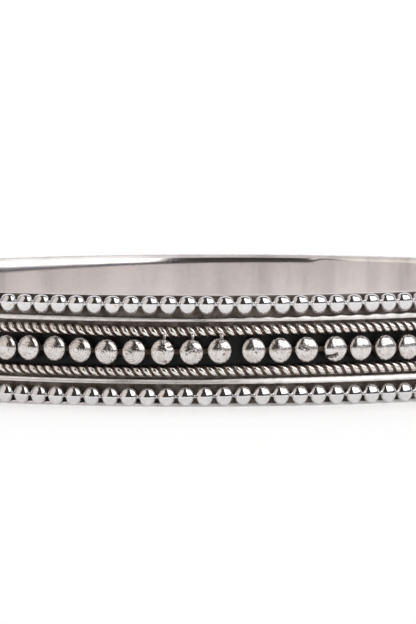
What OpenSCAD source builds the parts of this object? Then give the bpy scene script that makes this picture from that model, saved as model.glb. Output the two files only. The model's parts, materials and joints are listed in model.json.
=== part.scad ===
// Beaded bangle: a flat silver band with rows of beads, twisted wire and plain wire around it.
// The bangle lies flat. Its axis is Z and the band's lower edge stands on z = 0.
// Angles go round Z from +X, and the side that is seen in front faces -Y.

/* [Band] */
// Inner diameter, where the wrist goes
inner_d = 63; // [60:0.5:70]
// Thickness of the band's wall
band_t = 0.8; // [0.6:0.05:1.2]
// Height of the band from edge to edge
band_h = 9.15; // [9.1:0.05:10]
// Rounding of the band's edges
edge_r = 0.15; // [0.05:0.05:0.25]
// Clearance between the band and each row on it
seat_gap = 0.05; // [0.03:0.01:0.1]

/* [Edge bead rows] */
// Diameter of the small beads
edge_bead_d = 1.4; // [1.1:0.05:1.45]
// Number of small beads in a row
edge_bead_n = 131; // [120:1:136]
// Diameter of the necks between the small beads
edge_neck_d = 0.5; // [0.3:0.05:0.7]
// Angle of the first small bead of the upper row past the front, in bead steps
upper_row_phase = 0.98; // [0:0.01:1]
// Angle of the first small bead of the lower row past the front, in bead steps
lower_row_phase = 0.87; // [0:0.01:1]

/* [Centre bead row] */
// Diameter of the large beads
centre_bead_d = 2; // [1.6:0.05:2.1]
// Number of large beads
centre_bead_n = 90; // [80:1:94]
// Diameter of the necks between the large beads
centre_neck_d = 0.6; // [0.4:0.05:0.8]
// Extra space between the beads where the ends of the row meet
join_gap = 0.5; // [0.05:0.05:0.8]
// Angle of the join past the front
join_angle = 4.2; // [-10:0.1:10]

/* [Wires] */
// Diameter of the twisted wires over both strands
twist_d = 0.88; // [0.7:0.02:0.9]
// Diameter of the upper plain wire
upper_plain_d = 0.34; // [0.25:0.01:0.5]
// Diameter of the lower plain wire
lower_plain_d = 0.42; // [0.25:0.01:0.5]

/* [Heights of the rows above the lower edge] */
// Lower row of small beads
lower_bead_z = 0.8; // [0.73:0.01:0.85]
// Lower plain wire
lower_plain_z = 2.02; // [1.8:0.01:2.1]
// Lower twisted wire
lower_twist_z = 2.93; // [2.85:0.01:3]
// Row of large beads
centre_bead_z = 4.6; // [4.54:0.01:4.64]
// Upper twisted wire
upper_twist_z = 6.2; // [6.15:0.01:6.25]
// Upper plain wire
upper_plain_z = 7.13; // [7:0.01:7.2]
// Upper row of small beads
upper_bead_z = 8.42; // [8.3:0.01:8.42]

/* [Hidden] */
$fn = 96;
silver = "silver";
worn_silver = "lightgray";
dark_silver = "dimgray";
inner_r = inner_d / 2;
outer_r = inner_r + band_t;
front = -90;

// Radius of the circle that the middle of a row lies on, for a bead or wire of diameter d
function row_radius(d) = outer_r + seat_gap + d / 2;

// Flat strip with rounded edges, bent to a ring
module band() {
    flat_t = band_t - 2 * edge_r;
    flat_h = band_h - 2 * edge_r;
    color(dark_silver)
        rotate_extrude($fn = 360)
            union() {
                translate([inner_r + edge_r, 0])
                    square([flat_t, band_h]);
                translate([inner_r, edge_r])
                    square([band_t, flat_h]);
                for (x = [0, flat_t], y = [0, flat_h])
                    translate([inner_r + edge_r + x, edge_r + y])
                        circle(r = edge_r, $fn = 32);
            }
}

// Straight neck that joins two beads of diameter bead_d, a step apart on a circle of radius r
module neck(r, step, bead_d, neck_d) {
    span = 2 * r * sin(step / 2);
    translate([r * cos(step / 2), 0])
        rotate([90, 0, 0])
            cylinder(h = span - bead_d / 2, d = neck_d, center = true, $fn = 32);
}

// Beaded wire: beads at even steps from start, each joined to the next, with the join left over
module beaded_wire(z, bead_d, neck_d, count, start, join_step) {
    r = row_radius(bead_d);
    step = (360 - join_step) / count;
    translate([0, 0, z])
        union() {
            for (i = [0:count - 1])
                rotate(start + i * step)
                    translate([r, 0])
                        sphere(d = bead_d);
            for (i = [0:count - 2])
                rotate(start + (i + 0.5) * step)
                    neck(r, step, bead_d, neck_d);
            rotate(start - (step + join_step) / 2)
                neck(r, step + join_step, bead_d, neck_d);
        }
}

// Row of small beads with no wider step anywhere
module edge_bead_row(z, phase) {
    color(silver)
        beaded_wire(z, edge_bead_d, edge_neck_d, edge_bead_n,
            front + phase * 360 / edge_bead_n, 0);
}

module upper_bead_row() {
    edge_bead_row(upper_bead_z, upper_row_phase);
}

module lower_bead_row() {
    edge_bead_row(lower_bead_z, lower_row_phase);
}

// Large beads, with their join beside the middle of the front
module centre_bead_row() {
    join_step = join_gap / row_radius(centre_bead_d) * 180 / PI;
    step = (360 - join_step) / centre_bead_n;
    color(silver)
        beaded_wire(centre_bead_z, centre_bead_d, centre_neck_d, centre_bead_n,
            front + join_angle + (step + join_step) / 2, join_step);
}

// Round wire or the outer form of a twisted one, laid around the band
module ring_wire(z, d) {
    translate([0, 0, z])
        rotate_extrude($fn = 360)
            translate([row_radius(d), 0])
                circle(d = d, $fn = 32);
}

module upper_plain_wire() {
    color(silver)
        ring_wire(upper_plain_z, upper_plain_d);
}

module lower_plain_wire() {
    color(silver)
        ring_wire(lower_plain_z, lower_plain_d);
}

// Outer form of the two strands that are twisted together
module upper_twisted_wire() {
    color(worn_silver)
        ring_wire(upper_twist_z, twist_d);
}

module lower_twisted_wire() {
    color(worn_silver)
        ring_wire(lower_twist_z, twist_d);
}

band();
upper_bead_row();
lower_bead_row();
upper_plain_wire();
lower_plain_wire();
upper_twisted_wire();
lower_twisted_wire();
centre_bead_row();
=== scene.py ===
"""Looks of the beaded bangle: an oxidised silver band with rows of beads and wires soldered round it."""

import json
import logging
import math
import random
from dataclasses import dataclass
from enum import Enum
from typing import Optional, Union

import bmesh
import bpy
import numpy as np
from mathutils import Matrix, Vector, noise


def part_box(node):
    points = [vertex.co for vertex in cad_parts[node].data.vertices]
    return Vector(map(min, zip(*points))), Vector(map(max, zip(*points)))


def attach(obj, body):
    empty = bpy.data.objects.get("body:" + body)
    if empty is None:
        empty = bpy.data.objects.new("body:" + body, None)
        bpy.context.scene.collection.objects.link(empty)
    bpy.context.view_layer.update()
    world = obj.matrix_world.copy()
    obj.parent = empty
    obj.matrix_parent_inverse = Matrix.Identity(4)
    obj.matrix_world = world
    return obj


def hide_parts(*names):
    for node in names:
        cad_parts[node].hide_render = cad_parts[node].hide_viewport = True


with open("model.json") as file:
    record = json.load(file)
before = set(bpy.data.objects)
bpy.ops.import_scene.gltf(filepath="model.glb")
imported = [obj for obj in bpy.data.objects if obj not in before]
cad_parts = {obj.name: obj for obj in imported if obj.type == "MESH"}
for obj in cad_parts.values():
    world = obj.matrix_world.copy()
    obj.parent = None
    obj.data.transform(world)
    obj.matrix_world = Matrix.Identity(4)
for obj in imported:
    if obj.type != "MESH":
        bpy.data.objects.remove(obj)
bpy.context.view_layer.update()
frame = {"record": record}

MM = 0.001
BODY = "root"
IMAGE_HEIGHT = 624
LOG = logging.getLogger("beaded_bangle")

Colour = tuple[float, float, float]
Span = tuple[float, float]
Number = Union["Signal", float]


# Node trees


class Signal:
    """A node's output socket, which Python's operators turn into Math nodes."""

    def __init__(self, nodes: "Nodes", socket: Optional[bpy.types.NodeSocket]) -> None:
        """Keeps the socket and the tree that it belongs to."""
        self.nodes = nodes
        self.socket = socket

    def math(self, operation: str, first: Number, second: Number = 0.0) -> "Signal":
        """Result of one Math node with these values."""
        return self.nodes.node("ShaderNodeMath", {"operation": operation}, {0: first, 1: second})

    def __add__(self, other: Number) -> "Signal":
        """This value plus another."""
        return self.math("ADD", self, other)

    __radd__ = __add__

    def __sub__(self, other: Number) -> "Signal":
        """This value less another."""
        return self.math("SUBTRACT", self, other)

    def __rsub__(self, other: Number) -> "Signal":
        """Another value less this one."""
        return self.math("SUBTRACT", other, self)

    def __mul__(self, other: Number) -> "Signal":
        """This value times another."""
        return self.math("MULTIPLY", self, other)

    __rmul__ = __mul__

    def __truediv__(self, other: Number) -> "Signal":
        """This value divided by another."""
        return self.math("DIVIDE", self, other)

    def __neg__(self) -> "Signal":
        """This value with its sign turned."""
        return self.math("MULTIPLY", self, -1.0)

    def sine(self) -> "Signal":
        """Sine of this angle in radians."""
        return self.math("SINE", self)

    def absolute(self) -> "Signal":
        """This value without its sign."""
        return self.math("ABSOLUTE", self)

    def below(self, other: Number) -> "Signal":
        """The smaller of this value and another."""
        return self.math("MINIMUM", self, other)

    def rise(self, low: float, high: float) -> "Signal":
        """Runs smoothly from 0 at low to 1 at high, and stays there.

        Args:
            low: Value at which the result leaves 0.
            high: Value at which the result reaches 1; it may lie below low, for a fall.

        Returns:
            The smooth step.
        """
        start, end, first, last = (low, high, 0.0, 1.0) if low < high else (high, low, 1.0, 0.0)
        return self.nodes.node(
            "ShaderNodeMapRange",
            {"interpolation_type": "SMOOTHSTEP"},
            {"Value": self, "From Min": start, "From Max": end, "To Min": first, "To Max": last},
        )


class Nodes:
    """Builds the nodes of one material or world."""

    def __init__(self, tree: bpy.types.NodeTree) -> None:
        """Starts the tree empty."""
        self.tree = tree
        self.tree.nodes.clear()

    def node(
        self,
        kind: str,
        settings: Optional[dict[str, object]] = None,
        sockets: Optional[dict[Union[int, str], object]] = None,
        output: Union[int, str] = 0,
    ) -> Signal:
        """Adds a node.

        Args:
            kind: The node's type.
            settings: Its properties, set before its sockets are.
            sockets: Values or links of its input sockets, by name or number.
            output: The output that is wanted.

        Returns:
            That output, or an empty signal where the node has none.
        """
        made = self.tree.nodes.new(kind)
        for name, value in (settings or {}).items():
            setattr(made, name, value)
        for key, value in (sockets or {}).items():
            if isinstance(value, Signal):
                self.tree.links.new(value.socket, made.inputs[key])
            else:
                made.inputs[key].default_value = value
        return Signal(self, made.outputs[output] if len(made.outputs) else None)

    def mix(self, factor: Number, first: object, second: object) -> Signal:
        """Colour that goes from the first to the second, each a signal or three numbers, by the factor."""
        ends = [c if isinstance(c, Signal) else (*c, 1.0) for c in (first, second)]
        return self.node("ShaderNodeMix", {"data_type": "RGBA"}, {0: factor, 6: ends[0], 7: ends[1]}, 2)

    def place(self) -> Signal:
        """Place on the object in millimetres, in the frame that the CAD model uses."""
        metres = self.node("ShaderNodeTexCoord", output="Object")
        return self.vector("MULTIPLY", metres, (1 / MM,) * 3)

    def vector(self, operation: str, first: object, second: object) -> Signal:
        """Adds one Vector Math node with a vector result."""
        return self.node("ShaderNodeVectorMath", {"operation": operation}, {0: first, 1: second})

    def distance(self, first: object, second: object) -> Signal:
        """Distance between two points."""
        settings = {"operation": "DISTANCE"}
        return self.node("ShaderNodeVectorMath", settings, {0: first, 1: second}, output="Value")

    def parts(self, vector: Signal) -> tuple[Signal, Signal, Signal]:
        """The x, y and z of a vector."""
        outputs = self.node("ShaderNodeSeparateXYZ", sockets={0: vector}).socket.node.outputs
        return tuple(Signal(self, outputs[i]) for i in range(3))

    def grain(self, place: Signal, scale: float, detail: float, roughness: float) -> Signal:
        """Smooth noise from 0 to 1, by lumps per millimetre, octaves of finer lumps and their weight."""
        sockets = {"Vector": place, "Scale": scale, "Detail": detail, "Roughness": roughness}
        return self.node("ShaderNodeTexNoise", sockets=sockets)

    def drawn_grain(self, angle: Signal, z: Signal, along: float, up: float, roughness: float) -> Signal:
        """Noise that runs along the ring or up it, by lumps per radian and per millimetre of height."""
        place = self.node("ShaderNodeCombineXYZ", sockets={0: angle * along, 1: z * up, 2: 0.0})
        return self.grain(place, 1.0, 3.0, roughness)

    def attribute(self, name: str) -> Signal:
        """A number that the mesh keeps for each of its points."""
        return self.node("ShaderNodeAttribute", {"attribute_name": name}, output="Fac")

    def bump(self, height: Signal) -> Signal:
        """Normal of a surface that a height in millimetres is added to."""
        sockets = {"Strength": 1.0, "Distance": MM, "Height": height}
        return self.node("ShaderNodeBump", sockets=sockets)

    def surface(self, **sockets: object) -> None:
        """Ends the material in a Principled BSDF.

        Args:
            **sockets: Its inputs, with underscores for the spaces in their names.
        """
        named = {name.replace("_", " "): value for name, value in sockets.items()}
        shader = self.node("ShaderNodeBsdfPrincipled", sockets=named)
        self.node("ShaderNodeOutputMaterial", sockets={"Surface": shader})


# Finishes


@dataclass(frozen=True)
class Finish:
    """What all the silver finishes share."""

    name: str
    silver: Colour
    oxide: Colour = (0.030, 0.024, 0.019)
    oxide_dulling: float = 0.4

    def material(self) -> bpy.types.Material:
        """Makes the material.

        Returns:
            The finished material.
        """
        made = bpy.data.materials.new(self.name)
        made.use_nodes = True
        self.build(Nodes(made.node_tree))
        return made

    def build(self, nodes: Nodes) -> None:
        """Adds the finish's own nodes.

        Args:
            nodes: Builder of the material's tree.
        """
        raise NotImplementedError

    def coat(self, nodes: Nodes, oxide: Signal, silver: Signal, roughness: Signal, height: Signal) -> None:
        """Ends a material that goes from bare silver to oxide.

        Args:
            nodes: Builder of the material's tree.
            oxide: Where the oxide lies, from 0 to 1.
            silver: Colour of the bare silver.
            roughness: Roughness of the surface.
            height: Height of its grain in millimetres.
        """
        nodes.surface(
            Base_Color=nodes.mix(oxide, silver, self.oxide),
            Metallic=1.0 - oxide * self.oxide_dulling,
            Roughness=roughness,
            Normal=nodes.bump(height),
        )


@dataclass(frozen=True)
class BandFinish(Finish):
    """Strip that is polished inside and on its edges, and dark outside between the wires, with a painted
    sheen that lightens its right side and painted shade that deepens the oxide in its middle channel.
    """

    outer_radius: float = 32.3
    height: float = 9.15
    channel_height: float = 4.6
    # Painted sheen: the lighter silver that the band's right side is painted with
    clear: Colour = (0.97, 0.94, 0.93)
    streaked: Colour = (0.70, 0.655, 0.65)
    oxide: Colour = (0.085, 0.064, 0.052)
    worn_oxide: Colour = (0.29, 0.25, 0.22)
    # Oxide and painted shade: the near-black colour of the deep channel behind the large beads
    channel_oxide_and_shade: Colour = (0.010, 0.009, 0.010)

    def build(self, nodes: Nodes) -> None:
        """Adds the finish's own nodes.

        Args:
            nodes: Builder of the material's tree.
        """
        place = nodes.place()
        x, y, z = nodes.parts(place)
        radius = nodes.distance(nodes.vector("MULTIPLY", place, (1.0, 1.0, 0.0)), (0.0, 0.0, 0.0))
        angle = x.math("ARCTAN2", x, -y)
        cloud = nodes.grain(place, 0.9, 4.0, 0.6)
        fine = nodes.grain(place, 9.0, 3.0, 0.6)
        streak = nodes.drawn_grain(angle, z, 9.0, 0.05, 0.55)
        hairline = nodes.drawn_grain(angle, z, 6.0, 14.0, 0.6)
        outside = radius.rise(self.outer_radius - 0.10, self.outer_radius - 0.03)
        rim = z.rise(self.height - 0.31, self.height - 0.22) * (1.0 - outside)
        upper_edge = (z + cloud * 0.06).rise(self.height + 0.02, self.height - 0.02)
        lower_edge = (z + cloud * 0.10 - angle.rise(-0.05, -0.20) * 0.16).rise(0.18, 0.28)
        dark = outside * upper_edge * lower_edge
        bare = 1.0 - dark
        # Painted sheen: the polished silver is painted lighter towards the right, the side that the
        # brightest softbox lights
        sheened_silver = nodes.mix(x.rise(1.0, 15.0), self.silver, self.clear)
        polished = nodes.mix(streak.rise(0.42, 0.70) * 0.8, sheened_silver, self.streaked)
        # Oxide with painted shade: the deep middle channel behind the large beads is painted darker than
        # the rest of the outside, and its worn patches are left out
        channel = (z - self.channel_height).absolute().rise(2.0, 1.2)
        worn = cloud.rise(0.42, 0.64) * 0.6 + fine.rise(0.45, 0.75) * 0.3
        oxide = nodes.mix(worn * (1.0 - channel), self.oxide, self.worn_oxide)
        oxide = nodes.mix(channel, oxide, self.channel_oxide_and_shade)
        nodes.surface(
            Base_Color=nodes.mix(dark, polished, oxide),
            Metallic=1.0 - dark * 0.45,
            Roughness=(0.10 + streak * 0.10 + rim * 0.45) * bare + dark * (0.34 + fine * 0.16),
            Normal=nodes.bump(fine * 0.004 * dark + (hairline * 0.00015 + streak * 0.012) * bare),
        )


@dataclass(frozen=True)
class SmallBeadFinish(Finish):
    """Bright polish with oxide left round the beads' feet and a few yellow specks."""

    specks: tuple[Vector, ...] = ()
    speck_colour: Colour = (0.76, 0.54, 0.27)
    bare_crest: float = -0.20
    cloudy: Colour = (0.80, 0.785, 0.775)

    def build(self, nodes: Nodes) -> None:
        """Adds the finish's own nodes.

        Args:
            nodes: Builder of the material's tree.
        """
        place = nodes.place()
        crest = nodes.attribute("crest")
        cloud = nodes.grain(place, 2.2, 3.0, 0.6)
        fine = nodes.grain(place, 14.0, 2.0, 0.6)
        oxide = (crest + (cloud - 0.5) * 0.40).rise(self.bare_crest, self.bare_crest - 0.26)
        silver = nodes.mix(cloud.rise(0.4, 0.7), self.silver, self.cloudy)
        for speck in self.specks:
            near = nodes.distance(place, speck / MM) + (fine - 0.5) * 0.12
            silver = nodes.mix(near.rise(0.17, 0.08), silver, self.speck_colour)
        roughness = 0.03 + cloud * 0.03 + oxide * 0.35
        self.coat(nodes, oxide, silver, roughness, cloud * 0.004 + fine * 0.0005)


@dataclass(frozen=True)
class LargeBeadFinish(Finish):
    """Satin silver with pits, fine turning rings and brown oxide round the outline."""

    cloudy: Colour = (0.62, 0.58, 0.55)
    pitted: Colour = (0.28, 0.22, 0.18)
    ringed: Colour = (0.36, 0.29, 0.24)
    scratched: Colour = (0.46, 0.39, 0.34)
    ring_step: float = 0.19

    def build(self, nodes: Nodes) -> None:
        """Adds the finish's own nodes.

        Args:
            nodes: Builder of the material's tree.
        """
        place = nodes.place()
        crest = nodes.attribute("crest")
        turned = nodes.attribute("ring_distance") * (2 * math.pi / self.ring_step)
        rings = turned.sine() * nodes.attribute("ring_depth")
        cloud = nodes.grain(place, 1.6, 4.0, 0.62)
        fine = nodes.grain(place, 9.0, 3.0, 0.6)
        pits = nodes.grain(place, 5.5, 1.0, 0.5).rise(0.63, 0.72)
        outline = (crest + (cloud - 0.5) * 0.50).rise(-0.04, -0.40)
        oxide = (outline + nodes.attribute("hollow")).below(1.0)
        silver = nodes.mix(cloud.rise(0.42, 0.68), self.silver, self.cloudy)
        silver = nodes.mix(pits * 0.6, silver, self.pitted)
        silver = nodes.mix(rings.rise(0.30, 0.95) * 0.45, silver, self.ringed)
        silver = nodes.mix(fine.rise(0.52, 0.70) * 0.30, silver, self.scratched)
        height = rings * 0.0026 + cloud * 0.016 + fine * 0.0014 - pits * 0.010
        self.coat(nodes, oxide, silver, 0.12 + fine * 0.12 + oxide * 0.25, height)


@dataclass(frozen=True)
class TwistedWireFinish(Finish):
    """Strands that are worn bright on their crests and brown between."""

    cloudy: Colour = (0.74, 0.68, 0.63)
    deep_brown: Colour = (0.125, 0.084, 0.068)
    light_brown: Colour = (0.27, 0.18, 0.14)

    def build(self, nodes: Nodes) -> None:
        """Adds the finish's own nodes.

        Args:
            nodes: Builder of the material's tree.
        """
        place = nodes.place()
        crest = nodes.attribute("crest")
        cloud = nodes.grain(place, 2.4, 3.0, 0.6)
        fine = nodes.grain(place, 10.0, 2.0, 0.6)
        bare = (crest + (cloud - 0.5) * 0.30 + (fine - 0.5) * 0.15).rise(0.30, 0.54)
        brown = nodes.mix(fine.rise(0.4, 0.7), self.deep_brown, self.light_brown)
        silver = nodes.mix(cloud.rise(0.40, 0.65), self.silver, self.cloudy)
        nodes.surface(
            Base_Color=nodes.mix(bare, brown, silver),
            Metallic=0.45 + bare * 0.55,
            Roughness=0.46 - bare * 0.34 + fine * 0.04,
            Normal=nodes.bump(cloud * 0.008 + fine * 0.002),
        )


@dataclass(frozen=True)
class PlainWireFinish(Finish):
    """Satin drawn wire with oxide along its foot and in its groove."""

    cloudy: Colour = (0.76, 0.73, 0.70)

    def build(self, nodes: Nodes) -> None:
        """Adds the finish's own nodes.

        Args:
            nodes: Builder of the material's tree.
        """
        place = nodes.place()
        x, y, z = nodes.parts(place)
        drawn = nodes.drawn_grain(x.math("ARCTAN2", x, -y), z, 12.0, 9.0, 0.6)
        cloud = nodes.grain(place, 1.2, 4.0, 0.6)
        fine = nodes.grain(place, 12.0, 2.0, 0.6)
        rough = nodes.attribute("solder") * fine.rise(0.35, 0.6)
        foot = (nodes.attribute("crest") + (cloud - 0.5) * 0.25).rise(-0.15, -0.45)
        oxide = (foot + rough * 0.6).below(1.0)
        silver = nodes.mix(cloud.rise(0.4, 0.7), self.silver, self.cloudy)
        height = drawn * 0.002 + fine * 0.002 + rough * 0.02
        self.coat(nodes, oxide, silver, 0.38 + drawn * 0.14 + oxide * 0.1, height)


# Meshes


@dataclass(frozen=True)
class RingSeat:
    """Where a ring-shaped CAD solid lies: the circle at the middle of its section, in millimetres."""

    radius: float
    height: float
    thickness: float

    @classmethod
    def of_node(cls, node: str) -> "RingSeat":
        """Measures a CAD node.

        Args:
            node: Name of a node that is a ring of round section around Z.

        Returns:
            The circle and thickness of that ring.
        """
        low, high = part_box(node)
        thickness = (high.z - low.z) / MM
        reach = max(high.x, -low.x, high.y, -low.y) / MM
        return cls(reach - thickness / 2, (high.z + low.z) / 2 / MM, thickness)


def place_around(angle: np.ndarray, out: np.ndarray, height: np.ndarray) -> np.ndarray:
    """Points by angle past the front in radians, positive towards +X, distance from the axis and height."""
    return np.stack([out * np.sin(angle), -out * np.cos(angle), height + 0 * angle], axis=-1)


def past_front(angle: np.ndarray) -> np.ndarray:
    """Degrees past the front, from -180 to 180, of angles in radians."""
    return (np.degrees(angle) + 180) % 360 - 180


def full_turn(count: int) -> np.ndarray:
    """Angles of one turn in radians, in even steps from 0."""
    return np.linspace(0, 2 * math.pi, count, endpoint=False)


def smooth_step(value: np.ndarray, low: float, high: float) -> np.ndarray:
    """Runs smoothly from 0 where a value is low to 1 where it is high."""
    share = np.clip((value - low) / (high - low), 0.0, 1.0)
    return share * share * (3 - 2 * share)


def hump(value: np.ndarray, middle: float, spread: float) -> np.ndarray:
    """Bell curve that is 1 at the middle and about a third at one spread away from it."""
    return np.exp(-(((value - middle) / spread) ** 2))


@dataclass(frozen=True)
class Chart:
    """Lengths in millimetres at angles in degrees, a pair in each row; beyond the rows it is 0."""

    rows: tuple[Span, ...] = ()

    def at(self, degrees: np.ndarray) -> np.ndarray:
        """Reads the chart.

        Args:
            degrees: Angles that are looked up.

        Returns:
            The length at each angle, on straight lines between the rows.
        """
        if not self.rows:
            return 0 * degrees
        angles, lengths = zip(*self.rows)
        return np.interp(degrees, angles, lengths, left=0.0, right=0.0)


# By degrees past the back: how far below the rim the band's inside starts to lean out
RIM_LEANS = Chart((
    (-180, 0.40), (-60, 0.40), (-28, 0.30), (-19.6, 0.16), (-18, 0.50), (0, 0.60), (10, 0.72), (36, 1.15),
    (90, 0.60), (180, 0.60),
))
# By degrees past the front: how far up each hand-laid row strays
UPPER_ROPE_DRIFTS = Chart((
    (-45, 0.0), (-27, 0.11), (-23, 0.09), (-18, 0.03), (-12, -0.04), (-6, -0.06), (0, 0.0), (5, 0.04),
    (10, 0.09), (27, 0.09), (45, 0.0),
))
LOWER_ROPE_DRIFTS = Chart((
    (-30, 0.0), (-18, -0.04), (-10, -0.06), (0, 0.0), (5, 0.05), (30, 0.06), (50, 0.0),
))
LOWER_BEAD_DRIFTS = Chart((
    (-30, 0.0), (-22, -0.07), (-9, -0.07), (-4, -0.02), (0, 0.0), (6, 0.06), (12, 0.06), (18, 0.02),
    (40, 0.0),
))
# Solder on the plain wires: its strength, its middle in degrees past the front, and its spread
UPPER_SOLDER = ((1.0, -0.8, 1.2),)
LOWER_SOLDER = ((0.8, -12.0, 2.0), (0.4, -3.0, 4.5))
# By degrees past the front: how far each plain wire's top rises above its round form
UPPER_WIRE_TOPS = Chart((
    (-60, 0.0), (-33, 0.13), (-20, 0.09), (-12, 0.03), (-6, -0.03), (0, -0.05), (4, 0.0), (9, 0.04),
    (16, 0.07), (30, 0.14), (60, 0.0),
))
LOWER_WIRE_TOPS = Chart((
    (-60, 0.0), (-33, 0.04), (-15, 0.02), (0, 0.0), (5, 0.09), (12, 0.15), (30, 0.17), (60, 0.0),
))


class MeshMaker:
    """Gathers points and faces in millimetres, and ends them in one object."""

    def __init__(self, *values: str) -> None:
        """Starts empty.

        Args:
            *values: Names of the values that each point carries.
        """
        self.points: list[np.ndarray] = []
        self.faces: list[tuple[int, ...]] = []
        self.values: dict[str, list[np.ndarray]] = {name: [] for name in values}
        self.count = 0

    def add(self, points: np.ndarray, faces: list[tuple[int, ...]], **values: np.ndarray) -> None:
        """Adds a part.

        Args:
            points: Its points, one in each row.
            faces: Its faces, as numbers of its own points.
            **values: One number for each point, by the value's name; a value left out is 0.
        """
        self.points.append(points)
        self.faces.extend(tuple(i + self.count for i in face) for face in faces)
        for name, kept in self.values.items():
            kept.append(np.ravel(values[name]) if name in values else np.zeros(len(points)))
        self.count += len(points)

    def add_tube(self, grid: np.ndarray, closed: bool, **values: np.ndarray) -> None:
        """Adds a tube from rings of points.

        Args:
            grid: Points in three axes: rings along the tube, sides, and x, y and z.
            closed: Whether the last ring joins the first; else both ends are capped.
            **values: Numbers in two axes, rings and sides, by the value's name.
        """
        rings, sides = grid.shape[:2]
        faces = []
        for i in range(rings if closed else rings - 1):
            near, far = i * sides, (i + 1) % rings * sides
            for j in range(sides):
                k = (j + 1) % sides
                faces.append((near + j, far + j, far + k, near + k))
        if not closed:
            faces.append(tuple(range(sides)))
            faces.append(tuple((rings - 1) * sides + j for j in reversed(range(sides))))
        self.add(grid.reshape(-1, 3), faces, **values)

    def finish(self, name: str, node: str, slot: str, finish: Finish) -> bpy.types.Object:
        """Makes the object that stands for a CAD node.

        Args:
            name: The object's name.
            node: CAD node that it replaces.
            slot: The record's material slot; not used.
            finish: What its surface looks like.

        Returns:
            The object, riding on the bangle's body.
        """
        mesh = bpy.data.meshes.new(name)
        mesh.from_pydata((np.concatenate(self.points) * MM).tolist(), [], self.faces)
        for value, kept in self.values.items():
            mesh.attributes.new(value, "FLOAT", "POINT").data.foreach_set("value", np.concatenate(kept))
        mesh.materials.append(finish.material())
        mesh.polygons.foreach_set("use_smooth", [True] * len(mesh.polygons))
        mesh.update()
        piece = bpy.data.objects.new(name, mesh)
        bpy.context.scene.collection.objects.link(piece)
        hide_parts(node)
        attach(piece, BODY)
        return piece


@dataclass
class Band:
    """Flat strip bent to a ring, leaning out below its rim inside and pressed out at its foot."""

    finish: Finish
    inner_radius: float
    outer_radius: float
    height: float
    edge: float = 0.15
    columns: int = 600
    outer_heights: tuple[float, ...] = (0.22, 0.30, 0.36, 0.42, 0.50, 0.60, 2.0, 4.6, 7.2)
    outer_skin: float = 0.1
    lean_depth: float = 1.3
    lean_power: float = 1.5
    most_lean: float = 1.2
    slope: float = 0.16
    lip_reach: float = 0.5
    lip_start: Span = (-70.0, -50.0)
    lip_end: Span = (-9.0, -4.0)
    lip_top: Span = (0.28, 0.40)

    def section(self) -> np.ndarray:
        """The strip's section at the front, counterclockwise.

        Returns:
            Distances from the axis and heights, one point in each row.
        """
        turn = np.radians(np.linspace(0, 90, 5))
        inner, outer, edge, top = self.inner_radius, self.outer_radius, self.edge, self.height
        upper, lean_end = top - edge, top - edge - self.lean_depth
        points = [(outer, z) for z in (edge, *self.outer_heights)]
        points += [(outer - edge + edge * math.cos(a), upper + edge * math.sin(a)) for a in turn]
        points += [(inner + edge - edge * math.sin(a), upper + edge * math.cos(a)) for a in turn]
        points += [(inner, z) for z in np.linspace(upper, lean_end, 15)[1:]]
        points += [(inner, z) for z in np.linspace(lean_end, edge, 6)[1:]]
        points += [(inner + edge - edge * math.cos(a), edge - edge * math.sin(a)) for a in turn[1:]]
        points += [(outer - edge + edge * math.sin(a), edge - edge * math.cos(a)) for a in turn[:-1]]
        return np.array(points)

    def lean(self, angle: np.ndarray, height: np.ndarray) -> np.ndarray:
        """How far the inside leans out towards the rim.

        Args:
            angle: Angles past the front in radians.
            height: Heights above the lower edge.

        Returns:
            The lean in millimetres.
        """
        depth = RIM_LEANS.at(np.degrees(angle) % 360 - 180)
        share = np.clip((height - (self.height - self.edge - depth)) / depth, 0, self.most_lean)
        return self.slope * depth * share**self.lean_power

    def lip(self, angle: np.ndarray, height: np.ndarray) -> np.ndarray:
        """How far the lower edge is pressed out at the left of the front.

        Args:
            angle: Angles past the front in radians.
            height: Heights above the lower edge.

        Returns:
            The way out in millimetres.
        """
        degrees = past_front(angle)
        beside = smooth_step(degrees, *self.lip_start) * (1 - smooth_step(degrees, *self.lip_end))
        return self.lip_reach * beside * (1 - smooth_step(height, *self.lip_top))

    def make(self) -> bpy.types.Object:
        """Builds the strip.

        Returns:
            The dressed object.
        """
        section = self.section()
        angle = full_turn(self.columns)[:, None]
        out = section[None, :, 0] + 0 * angle
        height = section[None, :, 1] + 0 * angle
        skin = self.outer_radius - self.outer_skin
        inside = np.clip((skin - out) / (skin - self.inner_radius), 0, 1)
        waves = 0.006 * np.sin(17 * angle + 1.1) + 0.004 * np.sin(29 * angle + height * 0.4)
        inward = self.lean(angle, height) + np.abs(waves)
        out = out + inward * inside + self.lip(angle, height) * (1 - inside)
        maker = MeshMaker()
        maker.add_tube(place_around(angle, out, height), closed=True)
        return maker.finish("silver_band", "band", "band", self.finish)


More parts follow.
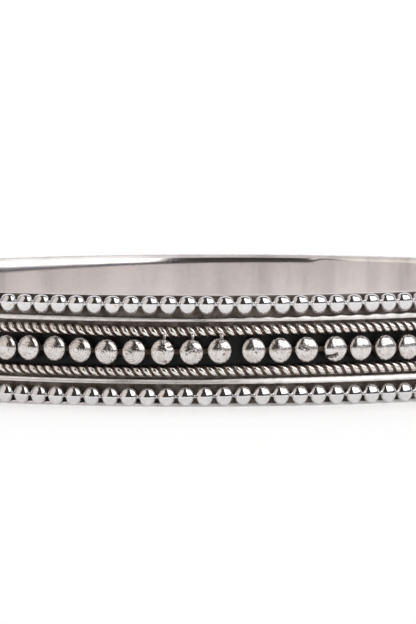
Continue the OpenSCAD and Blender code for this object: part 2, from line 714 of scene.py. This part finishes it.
@dataclass
class SmallBeadRow:
    """Beaded wire along an edge: small beads that run into each other through narrow necks."""

    finish: Finish
    node: str
    first_bead: float
    seed: int
    closeness: float
    count: int = 131
    half_length: float = 0.71
    rise: float = 0.68
    rise_power: float = 0.75
    drop: float = 0.87
    drop_power: float = 0.82
    lift: float = 0.035
    depth: float = 0.50
    foot: float = 0.78
    neck: float = 0.10
    neck_shade: float = 0.30
    squareness: float = 6.0
    cap: float = 79.0
    drifts: Chart = Chart()
    spread: float = 0.012
    lowest: float = 0.004
    rings: int = 16
    sides: int = 28

    def middle(self, place: float) -> float:
        """Angle past the front of a place along the row, counted in beads."""
        even = place * 2 * math.pi / self.count
        return even - self.closeness * math.sin(even)

    def make(self) -> bpy.types.Object:
        """Builds the row.

        Returns:
            The dressed object.
        """
        seat = RingSeat.of_node(self.node)
        rng = random.Random(self.seed)
        rows = []
        power = self.squareness
        turns = np.radians(np.linspace(-self.cap, self.cap, self.rings))
        for bead in range(self.count):
            middle = self.middle(self.first_bead + bead)
            length = self.half_length + rng.uniform(-1, 1) * self.spread
            size = 1 + rng.uniform(-1.4, 0.0) * self.spread
            shift = rng.uniform(-1, 1) * self.spread
            for turn in turns:
                scale = (math.cos(turn) ** power + self.neck**power) ** (1 / power)
                along = length * math.sin(turn) / seat.radius
                rows.append((middle + along, scale, size, shift * math.cos(turn)))
            rows.append((self.middle(self.first_bead + bead + 0.5), self.neck, size, 0.0))
        angle, scale, size, shift = np.array(rows).T[:, :, None]
        around = full_turn(self.sides)
        upper, lower = self.rise * scale**self.rise_power, self.drop * scale**self.drop_power
        up = np.where(np.sin(around) > 0, upper, lower) * size * np.sin(around)
        up = up + self.lift + self.drifts.at(past_front(angle))
        out = np.where(np.cos(around) > 0, self.depth, self.foot) * scale * np.cos(around)
        height = np.maximum(seat.height + up + shift, self.lowest)
        crest = np.cos(around) * scale - self.neck_shade * (1 - scale) ** 4
        maker = MeshMaker("crest")
        maker.add_tube(place_around(angle, seat.radius + out, height), closed=True, crest=crest)
        name = self.node.replace("bead_row", "beads")
        return maker.finish(name, self.node, "beads", self.finish)


class MarkKind(Enum):
    """Kinds of flaw in a cast bead."""

    PIT = "pit"
    SLIT = "slit"
    FLAT = "flat"


@dataclass(frozen=True)
class Mark:
    """One flaw, placed on the bead's outer side by shares of its half width along and up."""

    kind: MarkKind
    along: float
    up: float
    width: float
    depth: float
    end_along: float = 0.0
    end_up: float = 0.0
    lip: float = 0.015

    def sink(self, along: np.ndarray, up: np.ndarray) -> tuple[np.ndarray, np.ndarray]:
        """How the flaw changes the bead's surface.

        Args:
            along: Places along the row in shares of the bead's half width.
            up: Places upward in the same shares.

        Returns:
            How far each point sinks in millimetres, and how dark it gets from 0 to 1.
        """
        if self.kind is MarkKind.SLIT:
            run = np.array([self.end_along - self.along, self.end_up - self.up])
            share = ((along - self.along) * run[0] + (up - self.up) * run[1]) / (run @ run)
            share = np.clip(share, 0, 1)
            near_along, near_up = self.along + share * run[0], self.up + share * run[1]
            width = self.width * (0.70 + 0.30 * share)
            away = np.hypot(along - near_along, up - near_up) / width
            hollow = 1 - smooth_step(away, 0.55, 1.0)
            return self.depth * hollow - self.lip * hump(away, 1.5, 0.4) * (up < near_up), hollow
        away = np.hypot(along - self.along, up - self.up) / self.width
        if self.kind is MarkKind.FLAT:
            return self.depth * (1 - smooth_step(away, 0.3, 1.0)), 0 * away
        hollow = 1 - smooth_step(away, 0.35, 1.0)
        return self.depth * (hollow - 0.25 * hump(away, 1.25, 0.25)), hollow * 0.8


@dataclass(frozen=True)
class BeadSpot:
    """Seat of a large bead in degrees past the front and millimetres up, with its rings and flaws."""

    angle: float
    lift: float
    rings: float = 0.0
    ring_along: float = -0.2
    ring_up: float = 0.0
    marks: tuple[Mark, ...] = ()
    fineness: int = 3


FRONT_BEADS: tuple[BeadSpot, ...] = (
    BeadSpot(-30.0, 0.05, rings=0.4),
    BeadSpot(-26.3, 0.09, rings=0.5),
    BeadSpot(-22.2, 0.11, rings=0.8),
    BeadSpot(-18.3, 0.01, rings=1.0),
    BeadSpot(-14.4, -0.09, rings=0.8, ring_up=-0.2),
    BeadSpot(-10.4, -0.09, rings=1.0, ring_along=-0.25, ring_up=0.05, fineness=4, marks=(
        Mark(MarkKind.PIT, -0.2, 0.12, 0.16, 0.05),
        Mark(MarkKind.PIT, -0.5, -0.1, 0.12, 0.03),
    )),
    BeadSpot(-6.3, -0.07, rings=0.7, ring_up=-0.3, fineness=4, marks=(
        Mark(MarkKind.SLIT, 0.45, 0.38, 0.09, 0.08, 0.85, 0.50),
        Mark(MarkKind.PIT, 0.25, -0.78, 0.20, 0.08),
        Mark(MarkKind.FLAT, -0.4, -0.2, 0.35, 0.04),
    )),
    BeadSpot(-2.2, -0.07, rings=0.8, ring_along=0.1, ring_up=-0.4, fineness=4, marks=(
        Mark(MarkKind.PIT, -0.38, -0.15, 0.14, 0.05),
        Mark(MarkKind.SLIT, -0.16, 0.68, 0.07, 0.04, -0.02, 0.42),
        Mark(MarkKind.SLIT, -0.02, 0.42, 0.07, 0.04, 0.62, 0.10),
    )),
    BeadSpot(1.8, 0.03, rings=0.7, ring_along=0.2, ring_up=-0.1, fineness=4, marks=(
        Mark(MarkKind.PIT, 0.32, -0.25, 0.16, 0.05),
    )),
    BeadSpot(6.6, 0.04, fineness=5, marks=(Mark(MarkKind.PIT, 0.14, -0.12, 0.13, 0.10),)),
    BeadSpot(10.4, 0.04, rings=0.6),
    BeadSpot(14.25, 0.07, rings=0.2, fineness=4, marks=(
        Mark(MarkKind.SLIT, -0.5, 0.25, 0.16, 0.06, -0.15, 0.1),
    )),
    BeadSpot(18.52, 0.07, rings=0.2, fineness=5, marks=(
        Mark(MarkKind.SLIT, -0.98, -0.62, 0.16, 0.30, -0.16, -0.54),
        Mark(MarkKind.SLIT, -0.20, -0.54, 0.14, 0.28, -0.03, -0.40),
    )),
    BeadSpot(22.38, 0.07, rings=0.2),
    BeadSpot(26.33, 0.04, rings=0.3),
    BeadSpot(30.1, 0.02, rings=0.2),
)


@dataclass(frozen=True)
class SolderThread:
    """Solder from a large bead to the upper twisted wire, at degrees past the front."""

    angle: float
    thickness: float


SOLDER_THREADS = (SolderThread(-6.0, 0.12), SolderThread(-2.0, 0.12), SolderThread(2.1, 0.15))


@dataclass
class LargeBeadRow:
    """Row of large cast beads on short necks, with solder between some beads and the upper twisted wire."""

    finish: Finish
    node: str = "centre_bead_row"
    count: int = 90
    half_length: float = 1.03
    half_height: float = 1.06
    depth: float = 0.54
    foot: float = 1.08
    neck: float = 0.24
    neck_inset: float = 0.40
    neck_crest: float = -0.42
    neck_share: Span = (0.22, 0.78)
    neck_flare: float = 3.2
    widest_neck: float = 4.6
    lumps: float = 0.014
    lump_scale: float = 1.7
    lump_shift: float = 3.7
    mark_limit: float = -0.2
    seed: int = 11
    thread_from: Span = (0.35, 0.84)
    thread_to: Span = (0.26, -0.18)
    thread_flare: float = 0.45

    def __post_init__(self) -> None:
        """Finds the row's circle and starts its mesh."""
        self.seat = RingSeat.of_node(self.node)
        self.maker = MeshMaker("crest", "hollow", "ring_distance", "ring_depth")

    def spots(self) -> list[BeadSpot]:
        """Places of all the beads.

        Returns:
            The beads that the photo shows, and evenly spaced ones for the rest of the row.
        """
        first, last = FRONT_BEADS[0].angle, FRONT_BEADS[-1].angle
        hidden = self.count - len(FRONT_BEADS)
        step = (360 - (last - first)) / (hidden + 1)
        rng = random.Random(self.seed)
        spots = list(FRONT_BEADS)
        for i in range(hidden):
            angle = last + (i + 1) * step + rng.uniform(-0.15, 0.15)
            lift, rings = rng.uniform(-0.05, 0.05), rng.uniform(0.0, 0.8)
            along, up = rng.uniform(-0.4, 0.4), rng.uniform(-0.4, 0.4)
            spots.append(BeadSpot(angle, lift, rings=rings, ring_along=along, ring_up=up))
        return spots

    @staticmethod
    def ball(fineness: int) -> tuple[np.ndarray, list[tuple[int, ...]]]:
        """Unit ball of triangles.

        Args:
            fineness: How often the twenty faces are split.

        Returns:
            Its points and faces.
        """
        made = bmesh.new()
        bmesh.ops.create_icosphere(made, subdivisions=fineness, radius=1.0)
        points = np.array([v.co[:] for v in made.verts])
        faces = [tuple(v.index for v in f.verts) for f in made.faces]
        made.free()
        return points, faces

    def add_bead(self, spot: BeadSpot, number: int) -> None:
        """Adds one bead.

        Args:
            spot: Place and flaws of the bead.
            number: Its number in the row, which varies its lumps.
        """
        unit, faces = self.ball(spot.fineness)
        out, along, up = unit[:, 0], unit[:, 1], unit[:, 2]
        front = out > self.mark_limit
        sink = np.zeros(len(unit))
        hollow = np.zeros(len(unit))
        for mark in spot.marks:
            depth, dark = mark.sink(along, up)
            sink += depth * front
            hollow = np.maximum(hollow, dark * front)
        offset = Vector((number * self.lump_shift, 0, 0))
        lumps = np.array([noise.noise(Vector(p) * self.lump_scale + offset) for p in unit])
        swell = 1 - self.lumps + self.lumps * lumps
        reach = np.where(out > 0, self.depth, self.foot)
        local_out = out * (reach * swell - sink)
        local_along = along * (self.half_length * swell - sink)
        local_up = up * (self.half_height * swell - sink)
        centre = math.radians(spot.angle)
        across = np.array([math.cos(centre), math.sin(centre), 0.0])
        outward = np.array([math.sin(centre), -math.cos(centre), 0.0])
        points = (
            outward * (self.seat.radius + local_out)[:, None]
            + across * local_along[:, None]
            + np.array([0, 0, 1.0]) * (self.seat.height + spot.lift + local_up)[:, None]
        )
        away = np.hypot(along - spot.ring_along, up - spot.ring_up)
        self.maker.add(
            points, faces, crest=out, hollow=hollow, ring_distance=away,
            ring_depth=spot.rings * smooth_step(out, 0.0, 0.5),
        )

    def add_neck(self, start: BeadSpot, end: BeadSpot) -> None:
        """Adds the neck between two beads.

        Args:
            start: The bead before it.
            end: The bead after it.
        """
        span = (end.angle - start.angle) % 360
        share = np.linspace(*self.neck_share, 7)
        angle = np.radians(start.angle + share * span)[:, None]
        waist = self.neck * (1 + self.neck_flare * (share - 0.5) ** 2)[:, None]
        around = full_turn(12)
        out = self.seat.radius - self.neck_inset + waist * np.cos(around)
        lift = (start.lift * (1 - share) + end.lift * share)[:, None]
        height = self.seat.height + lift + waist * np.sin(around)
        crest = 0 * height + self.neck_crest
        self.maker.add_tube(place_around(angle, out, height), closed=False, crest=crest)

    def add_solder(self, thread: SolderThread) -> None:
        """Adds a thread of solder between a bead and the upper twisted wire.

        Args:
            thread: Where it lies and how thick it is.
        """
        wire = RingSeat.of_node("upper_twisted_wire")
        start = np.array([self.seat.radius, self.seat.height]) + self.thread_from
        end = np.array([wire.radius, wire.height]) + self.thread_to
        share = np.linspace(0, 1, 7)[:, None]
        path = start * (1 - share) + end * share
        thick = thread.thickness + self.thread_flare * (share - 0.5) ** 2
        around = full_turn(10)
        turn = math.radians(thread.angle) + thick * np.sin(around) / self.seat.radius
        out = path[:, 0:1] - thick * np.cos(around)
        grid = place_around(turn, out, path[:, 1:2] + 0 * out)
        self.maker.add_tube(grid, closed=False, crest=0 * out + 0.6)

    def make(self) -> bpy.types.Object:
        """Builds the row.

        Returns:
            The dressed object.
        """
        spots = self.spots()
        for number, spot in enumerate(spots):
            self.add_bead(spot, number)
            following = spots[(number + 1) % len(spots)]
            if (following.angle - spot.angle) % 360 < self.widest_neck:
                self.add_neck(spot, following)
        for thread in SOLDER_THREADS:
            self.add_solder(thread)
        return self.maker.finish("centre_beads", self.node, "beads", self.finish)


@dataclass
class TwistedWire:
    """Two round strands twisted together, whose crests slope down to the right."""


    finish: Finish
    node: str
    turns: int
    phase: float
    drifts: Chart
    reach: float = 0.47
    thick: float = 0.11
    wide: float = 0.218
    core: float = 0.28
    core_rings: int = 540
    tighter: float = 0.0
    tighter_end: float = 65.0
    jitter: float = 0.12
    jitter_waves: tuple[int, ...] = (9, 17, 31, 47, 66)
    inner_shade: float = 0.35
    seed: int = 7
    rings_per_turn: int = 18
    sides: int = 14

    def make(self) -> bpy.types.Object:
        """Builds the wire.

        Returns:
            The dressed object.
        """
        seat = RingSeat.of_node(self.node)
        helix = self.reach - self.thick
        rings = self.turns * self.rings_per_turn
        angle = full_turn(rings)
        around = full_turn(self.sides)[None, :]
        maker = MeshMaker("crest")
        rng = random.Random(self.seed)
        waves = sum(np.sin(count * angle + rng.uniform(0, 2 * math.pi)) for count in self.jitter_waves)
        extra = self.tighter * 2 * math.pi * smooth_step(past_front(angle), 0.0, self.tighter_end)
        zeros = np.zeros(rings)
        outward = np.stack([np.sin(angle), -np.cos(angle), zeros], axis=-1)
        ring = place_around(angle, seat.radius + zeros, seat.height + self.drifts.at(past_front(angle)))
        for half in (0.0, math.pi):
            twist = self.phase + half - self.turns * angle - extra + self.jitter * waves / 2
            reach = outward * np.cos(twist)[:, None]
            reach[:, 2] += np.sin(twist)
            line = ring + reach * helix
            along = np.roll(line, -1, axis=0) - np.roll(line, 1, axis=0)
            along /= np.linalg.norm(along, axis=1)[:, None]
            side = np.cross(along, reach)
            side /= np.linalg.norm(side, axis=1)[:, None]
            lift = np.cross(side, along)
            grid = (
                line[:, None, :]
                + self.thick * lift[:, None, :] * np.cos(around)[:, :, None]
                + self.wide * side[:, None, :] * np.sin(around)[:, :, None]
            )
            hidden = self.inner_shade * (1 - np.cos(twist))[:, None] ** 2
            maker.add_tube(grid, closed=True, crest=np.cos(around) - hidden)
        spin = full_turn(self.core_rings)[:, None]
        core_out = seat.radius + self.core * np.cos(around)
        core_up = seat.height + self.drifts.at(past_front(spin)) + self.core * np.sin(around)
        maker.add_tube(place_around(spin, core_out, core_up), closed=True, crest=0 * core_up - 1)
        name = self.node.replace("wire", "strands")
        return maker.finish(name, self.node, "twisted_wire", self.finish)


class WireForm(Enum):
    """Section of a plain wire along the front."""

    SCALLOPED = "upper edge pressed into scallops to the right"
    GROOVED = "two ridges to the left"


@dataclass
class PlainWire:
    """Thin drawn wire laid round the band."""

    finish: Finish
    node: str
    form: WireForm
    tops: Chart
    solder: tuple[tuple[float, float, float], ...]
    slant: float
    columns: int = 900
    sides: int = 16
    foot: float = 0.07
    shoulder: float = 0.18
    scalloped: Span = (1.0, 9.0)
    scallops: tuple[Span, ...] = ((0.035, 131), (0.021, 57))
    slanted: Span = (0.0, 8.0)
    grooved: Span = (1.5, 6.0)
    groove: float = 0.45
    groove_shade: float = 2.2

    def make(self) -> bpy.types.Object:
        """Builds the wire.

        Returns:
            The dressed object.
        """
        seat = RingSeat.of_node(self.node)
        half = seat.thickness / 2
        angle = np.linspace(-math.pi, math.pi, self.columns, endpoint=False)[:, None]
        degrees = np.degrees(angle)
        around = full_turn(self.sides)[None, :]
        outward, upward = np.cos(around), np.sin(around)
        rise = half + self.tops.at(degrees)
        groove = 0 * degrees
        if self.form is WireForm.SCALLOPED:
            scallops = sum(depth * np.sin(count * angle) for depth, count in self.scallops)
            rise = rise + smooth_step(degrees, *self.scalloped) * scallops
        else:
            groove = self.groove * (1 - smooth_step(degrees, *self.grooved))
        from_outermost = np.angle(np.exp(1j * around))
        shape = 1 - groove * hump(from_outermost, 0.0, 0.30)
        out = half * shape * np.sign(outward) * np.abs(outward) ** 0.5
        out = np.where(outward < 0, out * (half + self.foot) / half, out)
        up = np.where(upward > 0, rise, half) * upward
        up = up * (1 + self.shoulder * outward**2 * np.abs(upward)) + 0 * out
        slant = self.slant * smooth_step(degrees, *self.slanted)
        out = out - slant * np.where(outward > 0, up + half, 0.0)
        crest = outward * shape - self.groove_shade * groove * hump(from_outermost, 0.0, 0.25)
        solder = sum(strength * hump(degrees, *spot) for strength, *spot in self.solder)
        maker = MeshMaker("crest", "solder")
        grid = place_around(angle, seat.radius + out, seat.height + up)
        maker.add_tube(grid, closed=True, crest=crest, solder=solder + 0 * up)
        name = self.node.replace("plain_wire", "drawn_wire")
        return maker.finish(name, self.node, "plain_wire", self.finish)


# Studio


@dataclass(frozen=True)
class LightPatch:
    """A dark patch of the studio, in degrees to the right and over the top, whose sides may lean."""

    left: float
    right: float
    low: float
    high: float
    colour: Colour
    left_lean: float = 0.0
    right_lean: float = 0.0
    edge: float = 1.5


@dataclass
class Studio:
    """Camera, pale floor and the soft light around them."""

    distance: float = 500.0
    camera_height: float = 37.06
    tilt: float = 3.583
    roll: float = -0.128
    yaw: float = -0.011
    focal_pixels: float = 5685.4
    floor_half: float = 15.0
    floor_colour: Colour = (0.93, 0.93, 0.93)
    floor_glow: float = 0.27
    left_light: Colour = (0.82, 0.76, 0.72)
    right_light: Colour = (2.0, 2.0, 2.0)
    back_light: Colour = (0.98, 0.97, 0.98)
    side_gap: Colour = (0.36, 0.355, 0.36)
    low_gap: Colour = (0.11, 0.115, 0.13)
    front_sides: Span = (-5, 5)
    back_start: Span = (90, 97)
    side_gap_sides: Span = (20, 45)
    side_gap_end: Span = (135, 112)
    low_gap_height: Span = (12.8, 11.2)
    low_gap_side: Span = (0, 6)
    low_gap_end: Span = (110, 100)
    arc: Colour = (0.10, 0.10, 0.105)
    arc_spans: tuple[Span, ...] = ((76, 80), (109, 104), (-30, -20), (50, 28))
    patches: tuple[LightPatch, ...] = (
        LightPatch(-47, 21, -1, 45, (0.04, 0.036, 0.034), left_lean=0.52, right_lean=-0.36),
        LightPatch(-27, 8, 0, 90, (0.05, 0.046, 0.044), left_lean=0.08, right_lean=-0.08),
    )
    sensor: float = 36.0

    def make_camera(self) -> None:
        """Puts the camera where the photo was taken from."""
        lens = bpy.data.cameras.new("camera")
        lens.sensor_fit = "VERTICAL"
        lens.sensor_height = self.sensor
        lens.lens = self.focal_pixels / IMAGE_HEIGHT * self.sensor
        lens.clip_start = 0.01
        lens.clip_end = 100.0
        camera = bpy.data.objects.new("camera", lens)
        tilt = Matrix.Rotation(math.radians(90 - self.tilt), 4, "X")
        roll = Matrix.Rotation(math.radians(self.roll), 4, "Z")
        spot = Matrix.Translation((0.0, -self.distance * MM, self.camera_height * MM))
        yaw = Matrix.Rotation(math.radians(self.yaw), 4, "Z")
        camera.matrix_world = spot @ yaw @ tilt @ roll
        bpy.context.scene.collection.objects.link(camera)
        bpy.context.scene.camera = camera

    def make_floor(self) -> None:
        """Lays a wide pale floor under the bangle."""
        half = self.floor_half
        corners = [(-half, -half, 0), (half, -half, 0), (half, half, 0), (-half, half, 0)]
        mesh = bpy.data.meshes.new("floor")
        mesh.from_pydata(corners, [], [(0, 1, 2, 3)])
        material = bpy.data.materials.new("pale_floor")
        material.use_nodes = True
        Nodes(material.node_tree).surface(
            Base_Color=(*self.floor_colour, 1.0),
            Roughness=0.8,
            Specular_IOR_Level=0.0,
            Emission_Color=(1.0, 1.0, 1.0, 1.0),
            Emission_Strength=self.floor_glow,
        )
        mesh.materials.append(material)
        floor = bpy.data.objects.new("floor", mesh)
        bpy.context.scene.collection.objects.link(floor)

    def patch_mask(self, patch: LightPatch, side: Signal, over: Signal) -> Signal:
        """Where a patch lies.

        Args:
            patch: The patch.
            side: Direction's angle to the right of the middle plane in degrees.
            over: Its angle from the front horizon over the top in degrees.

        Returns:
            1 inside the patch and 0 outside.
        """
        half = patch.edge / 2
        right_of = (side - over * patch.left_lean - patch.left).rise(-half, half)
        left_of = (side - over * patch.right_lean - patch.right).rise(half, -half)
        above = over.rise(patch.low - half, patch.low + half)
        below = over.rise(patch.high + half, patch.high - half)
        return right_of * left_of * above * below

    def make_light(self) -> None:
        """Surrounds the bangle with softboxes, with dark gaps at the front and an arc overhead."""
        world = bpy.data.worlds.new("studio")
        bpy.context.scene.world = world
        world.use_nodes = True
        nodes = Nodes(world.node_tree)
        direction = nodes.node("ShaderNodeTexCoord", output="Generated")
        x, y, z = nodes.parts(direction)
        degree = 180 / math.pi
        side = x.math("ARCSINE", x) * degree
        over = x.math("ARCTAN2", z, -y) * degree
        turned = x.math("ARCCOSINE", -y) * degree
        height = x.math("ARCSINE", z) * degree
        front = nodes.mix(side.rise(*self.front_sides), self.left_light, self.right_light)
        beside = side.absolute().rise(*self.side_gap_sides) * turned.rise(*self.side_gap_end)
        behind = nodes.mix(beside, self.back_light, self.side_gap)
        colour = nodes.mix(turned.rise(*self.back_start), front, behind)
        low = height.rise(*self.low_gap_height) * side.rise(*self.low_gap_side)
        colour = nodes.mix(low * turned.rise(*self.low_gap_end), colour, self.low_gap)
        for patch in self.patches:
            colour = nodes.mix(self.patch_mask(patch, side, over), colour, patch.colour)
        start, end, left, right = self.arc_spans
        arc = turned.rise(*start) * turned.rise(*end) * side.rise(*left) * side.rise(*right)
        colour = nodes.mix(arc, colour, self.arc)
        seen = nodes.node("ShaderNodeLightPath", output="Is Camera Ray")
        colour = nodes.mix(seen, colour, (1.0, 1.0, 1.0))
        light = nodes.node("ShaderNodeBackground", sockets={"Color": colour, "Strength": 1.0})
        nodes.node("ShaderNodeOutputWorld", sockets={"Surface": light})
        bpy.context.scene.view_settings.view_transform = "Standard"

    def make(self) -> None:
        """Builds the studio."""
        self.make_camera()
        self.make_floor()
        self.make_light()


def bore_radius() -> float:
    """Inner radius of the band in millimetres, as the record's bore gives it."""
    bores = [m for m in frame["record"]["mounts"] if m["name"] == "wrist_bore"]
    return bores[0]["dims"]["r_mm"]


def surface_point(node: str, angle: float, up: float) -> Vector:
    """A point on the outside of a bead row.

    Args:
        node: The row's CAD node.
        angle: Degrees past the front.
        up: Height above the row's middle in millimetres.

    Returns:
        The point in metres.
    """
    seat = RingSeat.of_node(node)
    half = seat.thickness / 2
    out = seat.radius + SmallBeadRow.depth * math.sqrt(max(0.0, 1 - (up / half) ** 2))
    turn = math.radians(angle)
    return Vector((out * math.sin(turn), -out * math.cos(turn), seat.height + up)) * MM


def main() -> None:
    """Builds the studio and every piece of the bangle."""
    logging.basicConfig(level=logging.INFO, format="%(name)s: %(message)s")
    Studio().make()
    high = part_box("band")[1]
    inner, outer, top = bore_radius(), high.x / MM, high.z / MM
    upper_specks = tuple(
        surface_point("upper_bead_row", angle, up)
        for angle, up in ((-29.15, -0.28), (-13.0, -0.10), (12.7, -0.12))
    )
    lower_specks = (surface_point("lower_bead_row", -6.4, 0.10),)
    bright = (0.745, 0.73, 0.742)
    strand = (0.86, 0.83, 0.81)
    drawn = (0.92, 0.89, 0.865)
    pieces = (
        Band(
            BandFinish("band_silver", (0.85, 0.81, 0.80), outer_radius=outer, height=top), inner, outer, top
        ),
        SmallBeadRow(
            SmallBeadFinish("upper_bead_silver", bright, specks=upper_specks),
            "upper_bead_row", first_bead=-0.02, seed=3, closeness=0.0125,
        ),
        SmallBeadRow(
            SmallBeadFinish("lower_bead_silver", bright, specks=lower_specks, bare_crest=-0.04),
            "lower_bead_row", first_bead=-0.12, seed=5, closeness=0.003,
            rise=0.82, drop=0.74, drop_power=1.25, lift=0.0, drifts=LOWER_BEAD_DRIFTS,
        ),
        LargeBeadRow(
            LargeBeadFinish("large_bead_silver", (0.79, 0.765, 0.76), oxide=(0.055, 0.035, 0.026))
        ),
        TwistedWire(
            TwistedWireFinish("upper_strand_silver", strand),
            "upper_twisted_wire", turns=133, phase=1.283, tighter=1.0, drifts=UPPER_ROPE_DRIFTS,
        ),
        TwistedWire(
            TwistedWireFinish("lower_strand_silver", strand),
            "lower_twisted_wire", turns=136, phase=1.525, reach=0.44, seed=8, drifts=LOWER_ROPE_DRIFTS,
        ),
        PlainWire(
            PlainWireFinish("upper_wire_silver", drawn),
            "upper_plain_wire", WireForm.SCALLOPED, UPPER_WIRE_TOPS, UPPER_SOLDER, slant=0.07,
        ),
        PlainWire(
            PlainWireFinish("lower_wire_silver", drawn),
            "lower_plain_wire", WireForm.GROOVED, LOWER_WIRE_TOPS, LOWER_SOLDER, slant=0.20,
        ),
    )
    for piece in pieces:
        made = piece.make()
        LOG.info("%s: %d points, %d faces", made.name, len(made.data.vertices), len(made.data.polygons))


if __name__ == "__main__":
    main()
